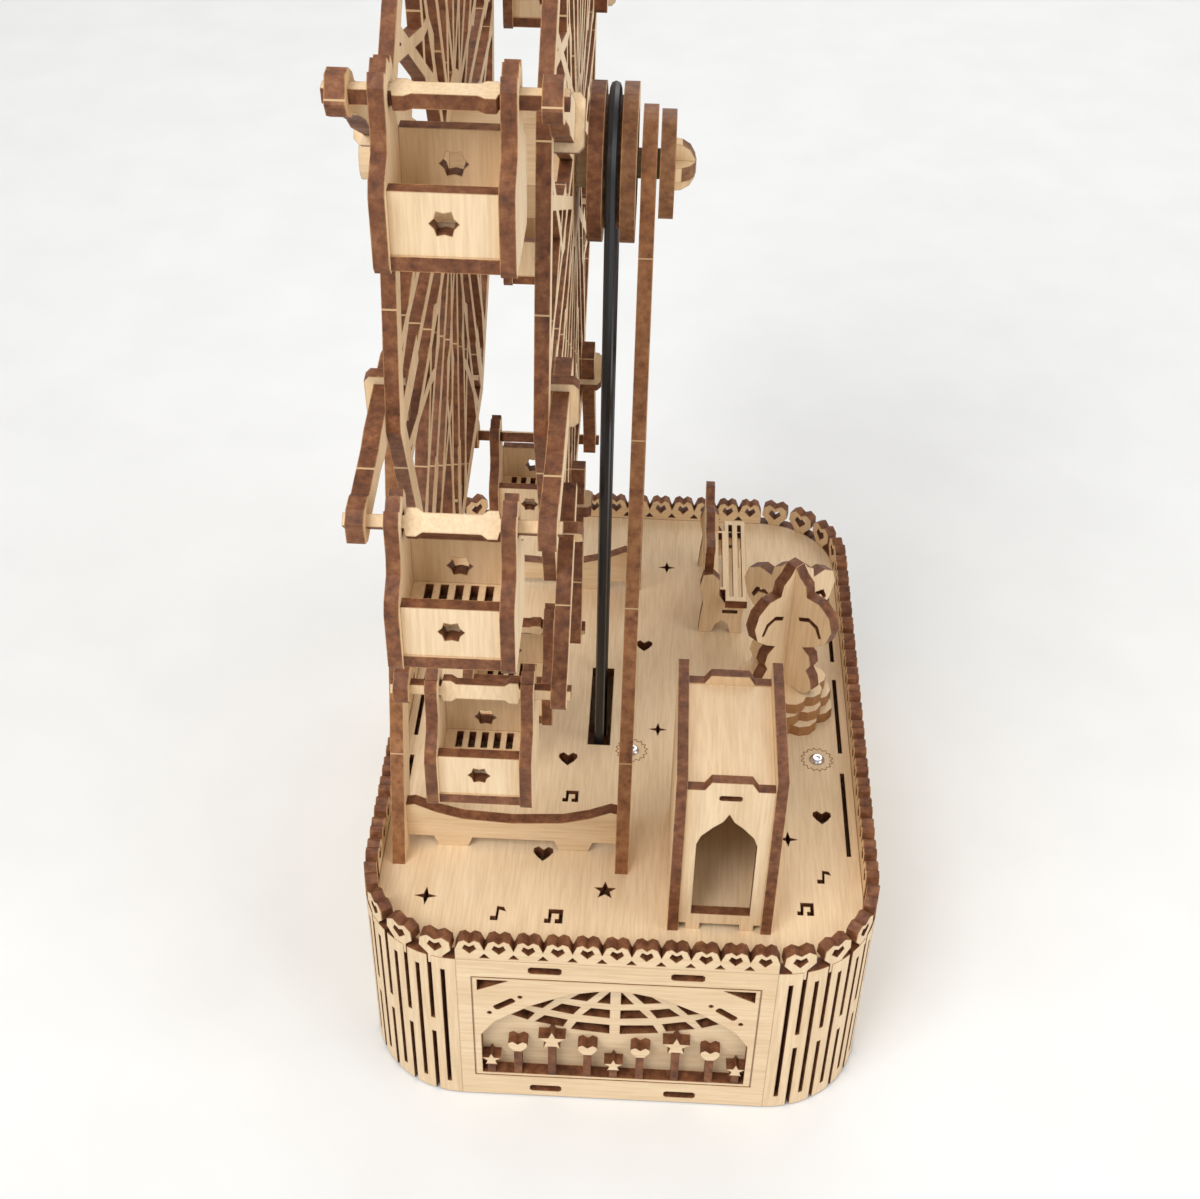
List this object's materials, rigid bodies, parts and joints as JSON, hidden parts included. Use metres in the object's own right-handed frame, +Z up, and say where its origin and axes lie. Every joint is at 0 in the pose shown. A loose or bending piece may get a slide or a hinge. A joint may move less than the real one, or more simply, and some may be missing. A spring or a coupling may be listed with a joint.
{
  "type": "crank ferris wheel toy",
  "caption": "Hand cranked plywood ferris wheel toy: lattice wheel with hanging gondolas on A-frame legs, over a base with a ticket booth, bench and tree.",
  "frame": {"origin": "centre of the base's underside, where it rests on the table", "axes": "+Z up; +X to the right seen from the front window; +Y to the back, where the crank is; -Y is the front with the arched window"},
  "size_m": [0.1172, 0.231, 0.3089],
  "materials": {
    "pale_plywood": "bare birch plywood with burnt cut edges",
    "gondola_plywood": "bare birch plywood with burnt cut edges",
    "wheel_plywood": "bare birch plywood with burnt cut edges",
    "leg_plywood": "bare birch plywood with burnt cut edges",
    "drive_plywood": "bare birch plywood with burnt cut edges",
    "belt_rubber": "matt black round rubber belt",
    "screw_metal": "bright domed screw heads"
  },
  "bodies": {
    "base": {"bottom_plate": "pale_plywood", "deck_plate": "pale_plywood", "front_panel": "pale_plywood", "back_panel": "pale_plywood", "side_panel_right": "pale_plywood", "side_panel_left": "pale_plywood", "fence_ends": "pale_plywood", "fence_sides": "pale_plywood", "corner_front_left": "pale_plywood", "corner_front_right": "pale_plywood", "corner_back_left": "pale_plywood", "corner_back_right": "pale_plywood", "window_backdrop": "pale_plywood", "window_stalks": "drive_plywood", "leg_left": "leg_plywood", "leg_right": "leg_plywood", "leg_braces": "leg_plywood", "booth_sides": "pale_plywood", "booth_front": "pale_plywood", "booth_back": "pale_plywood", "booth_roof": "pale_plywood", "bench_sides": "pale_plywood", "bench_seat": "pale_plywood", "bench_back": "pale_plywood", "tree_base": "pale_plywood", "tree_profile_a": "pale_plywood", "tree_profile_b": "pale_plywood", "deck_screws": "screw_metal", "belt": "belt_rubber", "drive_bearings": "drive_plywood"},
    "wheel": {"wheel_ring_left": "wheel_plywood", "wheel_ring_right": "wheel_plywood", "wheel_arms_left": "wheel_plywood", "wheel_arms_right": "wheel_plywood", "wheel_clips_left": "wheel_plywood", "wheel_clips_right": "wheel_plywood", "gondola_axles": "wheel_plywood", "hub_drum": "wheel_plywood", "wheel_shaft": "wheel_plywood", "pulley_disc_inner": "wheel_plywood", "pulley_core": "wheel_plywood", "pulley_disc_outer": "wheel_plywood", "shaft_end_cap": "wheel_plywood"},
    "drive": {"drive_shaft": "drive_plywood", "drive_pulley": "drive_plywood", "drive_gear": "drive_plywood"},
    "crank": {"crank_shaft": "drive_plywood", "crank_gear": "drive_plywood", "crank_arm": "drive_plywood"},
    "knob": {"crank_knob": "drive_plywood"},
    "gondola_01_body": {"gondola_01": "gondola_plywood"},
    "gondola_02_body": {"gondola_02": "gondola_plywood"},
    "gondola_03_body": {"gondola_03": "gondola_plywood"},
    "gondola_04_body": {"gondola_04": "gondola_plywood"},
    "gondola_05_body": {"gondola_05": "gondola_plywood"},
    "gondola_06_body": {"gondola_06": "gondola_plywood"},
    "gondola_07_body": {"gondola_07": "gondola_plywood"},
    "gondola_08_body": {"gondola_08": "gondola_plywood"},
    "gondola_09_body": {"gondola_09": "gondola_plywood"},
    "gondola_10_body": {"gondola_10": "gondola_plywood"}
  },
  "joints": [
    {"name": "wheel_spin", "type": "hinge", "parent": "base", "child": "wheel", "pos_m": [-0.0279, 0, 0.1995], "axis": [1, 0, 0], "continuous": true},
    {"name": "gondola_01_swing", "type": "hinge", "parent": "wheel", "child": "gondola_01_body", "pos_m": [-0.0279, -0.09223, 0.25275], "axis": [1, 0, 0], "continuous": true},
    {"name": "gondola_02_swing", "type": "hinge", "parent": "wheel", "child": "gondola_02_body", "pos_m": [-0.0279, -0.10592, 0.18837], "axis": [1, 0, 0], "continuous": true},
    {"name": "gondola_03_swing", "type": "hinge", "parent": "wheel", "child": "gondola_03_body", "pos_m": [-0.0279, -0.07914, 0.12824], "axis": [1, 0, 0], "continuous": true},
    {"name": "gondola_04_swing", "type": "hinge", "parent": "wheel", "child": "gondola_04_body", "pos_m": [-0.0279, -0.02214, 0.09533], "axis": [1, 0, 0], "continuous": true},
    {"name": "gondola_05_swing", "type": "hinge", "parent": "wheel", "child": "gondola_05_body", "pos_m": [-0.0279, 0.04332, 0.10221], "axis": [1, 0, 0], "continuous": true},
    {"name": "gondola_06_swing", "type": "hinge", "parent": "wheel", "child": "gondola_06_body", "pos_m": [-0.0279, 0.09223, 0.14625], "axis": [1, 0, 0], "continuous": true},
    {"name": "gondola_07_swing", "type": "hinge", "parent": "wheel", "child": "gondola_07_body", "pos_m": [-0.0279, 0.10592, 0.21063], "axis": [1, 0, 0], "continuous": true},
    {"name": "gondola_08_swing", "type": "hinge", "parent": "wheel", "child": "gondola_08_body", "pos_m": [-0.0279, 0.07914, 0.27076], "axis": [1, 0, 0], "continuous": true},
    {"name": "gondola_09_swing", "type": "hinge", "parent": "wheel", "child": "gondola_09_body", "pos_m": [-0.0279, 0.02214, 0.30367], "axis": [1, 0, 0], "continuous": true},
    {"name": "gondola_10_swing", "type": "hinge", "parent": "wheel", "child": "gondola_10_body", "pos_m": [-0.0279, -0.04332, 0.29679], "axis": [1, 0, 0], "continuous": true},
    {"name": "drive_spin", "type": "hinge", "parent": "base", "child": "drive", "pos_m": [0, 0, 0.025], "axis": [1, 0, 0], "continuous": true},
    {"name": "crank_spin", "type": "hinge", "parent": "base", "child": "crank", "pos_m": [0.0168, 0.08, 0.025], "axis": [0, 1, 0], "continuous": true},
    {"name": "knob_spin", "type": "hinge", "parent": "crank", "child": "knob", "pos_m": [0.0168, 0.095, 0.0095], "axis": [0, 1, 0], "continuous": true}
  ],
  "couplings": [
    {"joint": "gondola_01_swing", "follows": "wheel_spin", "ratio": -1},
    {"joint": "gondola_02_swing", "follows": "wheel_spin", "ratio": -1},
    {"joint": "gondola_03_swing", "follows": "wheel_spin", "ratio": -1},
    {"joint": "gondola_04_swing", "follows": "wheel_spin", "ratio": -1},
    {"joint": "gondola_05_swing", "follows": "wheel_spin", "ratio": -1},
    {"joint": "gondola_06_swing", "follows": "wheel_spin", "ratio": -1},
    {"joint": "gondola_07_swing", "follows": "wheel_spin", "ratio": -1},
    {"joint": "gondola_08_swing", "follows": "wheel_spin", "ratio": -1},
    {"joint": "gondola_09_swing", "follows": "wheel_spin", "ratio": -1},
    {"joint": "gondola_10_swing", "follows": "wheel_spin", "ratio": -1},
    {"joint": "drive_spin", "follows": "wheel_spin", "ratio": 1.2393},
    {"joint": "crank_spin", "follows": "wheel_spin", "ratio": 1.2393}
  ]
}
